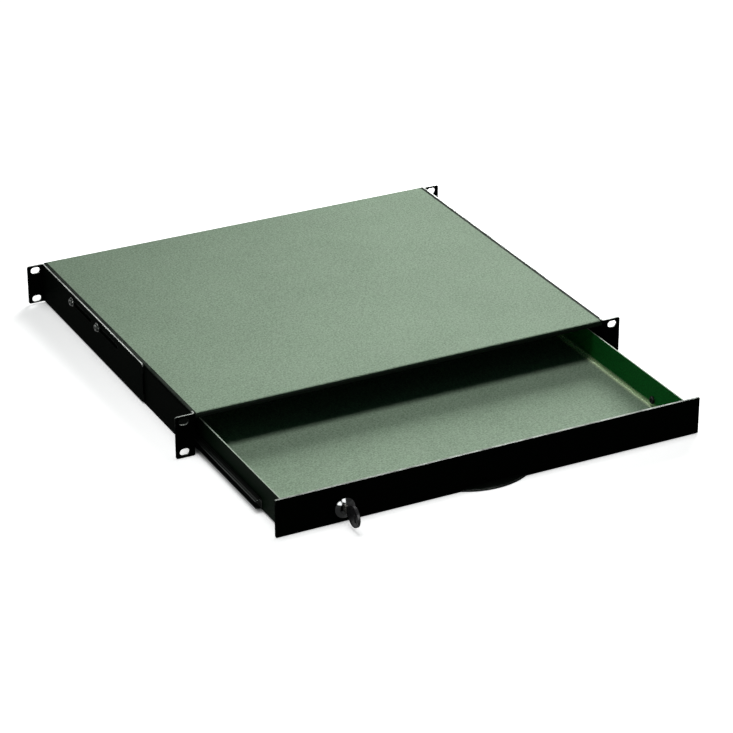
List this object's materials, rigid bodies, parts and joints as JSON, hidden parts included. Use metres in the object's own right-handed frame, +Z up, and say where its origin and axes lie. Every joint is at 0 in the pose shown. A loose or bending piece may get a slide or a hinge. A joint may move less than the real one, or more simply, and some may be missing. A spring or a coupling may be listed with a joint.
{
  "type": "rack keyboard drawer",
  "caption": "Low rack-mount keyboard drawer: sheet-steel case with rack ears and adjustable rear brackets, open tray on ball slides, front panel with finger pull and cam lock.",
  "frame": {"origin": "middle of the four front rack slots, on the rear face of the front ears, which seats on the rack", "axes": "+X to the right seen from the front, +Y to the back, +Z up; the drawer pulls out along -Y"},
  "size_m": [0.4826, 0.5912, 0.0436],
  "materials": {
    "grey_green_paint": "fine-texture satin powder coat",
    "black_paint": "satin powder coat, near black",
    "black_zinc": "black zinc plate",
    "zinc": "bright zinc plate",
    "ball_steel": "polished steel",
    "lock_chrome": "dark chrome plate",
    "key_nickel": "nickel plate",
    "black_plastic": "matt moulded plastic"
  },
  "bodies": {
    "case": {"top_cover": "grey_green_paint", "side_wall_left": "black_paint", "side_wall_right": "black_paint", "rear_panel": "black_paint", "lock_keeper": "zinc", "bracket_screws": "black_zinc", "bracket_nuts": "zinc", "slide_outer_left": "black_zinc", "slide_outer_right": "black_zinc", "slide_buffers": "black_plastic"},
    "bracket_left": {"rear_bracket_left": "black_paint"},
    "bracket_right": {"rear_bracket_right": "black_paint"},
    "drawer": {"drawer_tray": "grey_green_paint", "front_panel": "black_paint", "panel_nuts": "zinc", "slide_inner_left": "black_zinc", "slide_inner_right": "black_zinc", "slide_tray_screws": "black_zinc", "lock_body": "lock_chrome", "lock_nut": "zinc"},
    "cages": {"ball_cage_left": "zinc", "ball_cage_right": "zinc", "slide_balls": "ball_steel"},
    "lock": {"lock_plug": "lock_chrome", "lock_cam": "zinc", "cam_screw": "zinc"},
    "key": {"key_blade": "key_nickel", "key_bow": "black_plastic"}
  },
  "joints": [
    {"name": "drawer_slide", "type": "slide", "parent": "case", "child": "drawer", "axis": [0, -1, 0], "range_m": [-0.1745, 0.0505]},
    {"name": "cages_slide", "type": "slide", "parent": "case", "child": "cages", "axis": [0, -1, 0], "range_m": [-0.0885, 0.0265]},
    {"name": "lock_turn", "type": "hinge", "parent": "drawer", "child": "lock", "pos_m": [-0.1535, -0.1785, -0.00783], "axis": [0, -1, 0], "range_deg": [0, 90]},
    {"name": "key_withdraw", "type": "slide", "parent": "lock", "child": "key", "axis": [0, -1, 0], "range_m": [0, 0.04]},
    {"name": "bracket_left_adjust", "type": "slide", "parent": "case", "child": "bracket_left", "axis": [0, 1, 0], "range_m": [0, 0.049]},
    {"name": "bracket_right_adjust", "type": "slide", "parent": "case", "child": "bracket_right", "axis": [0, 1, 0], "range_m": [0, 0.049]}
  ],
  "couplings": [
    {"joint": "cages_slide", "follows": "drawer_slide", "ratio": 0.5}
  ]
}
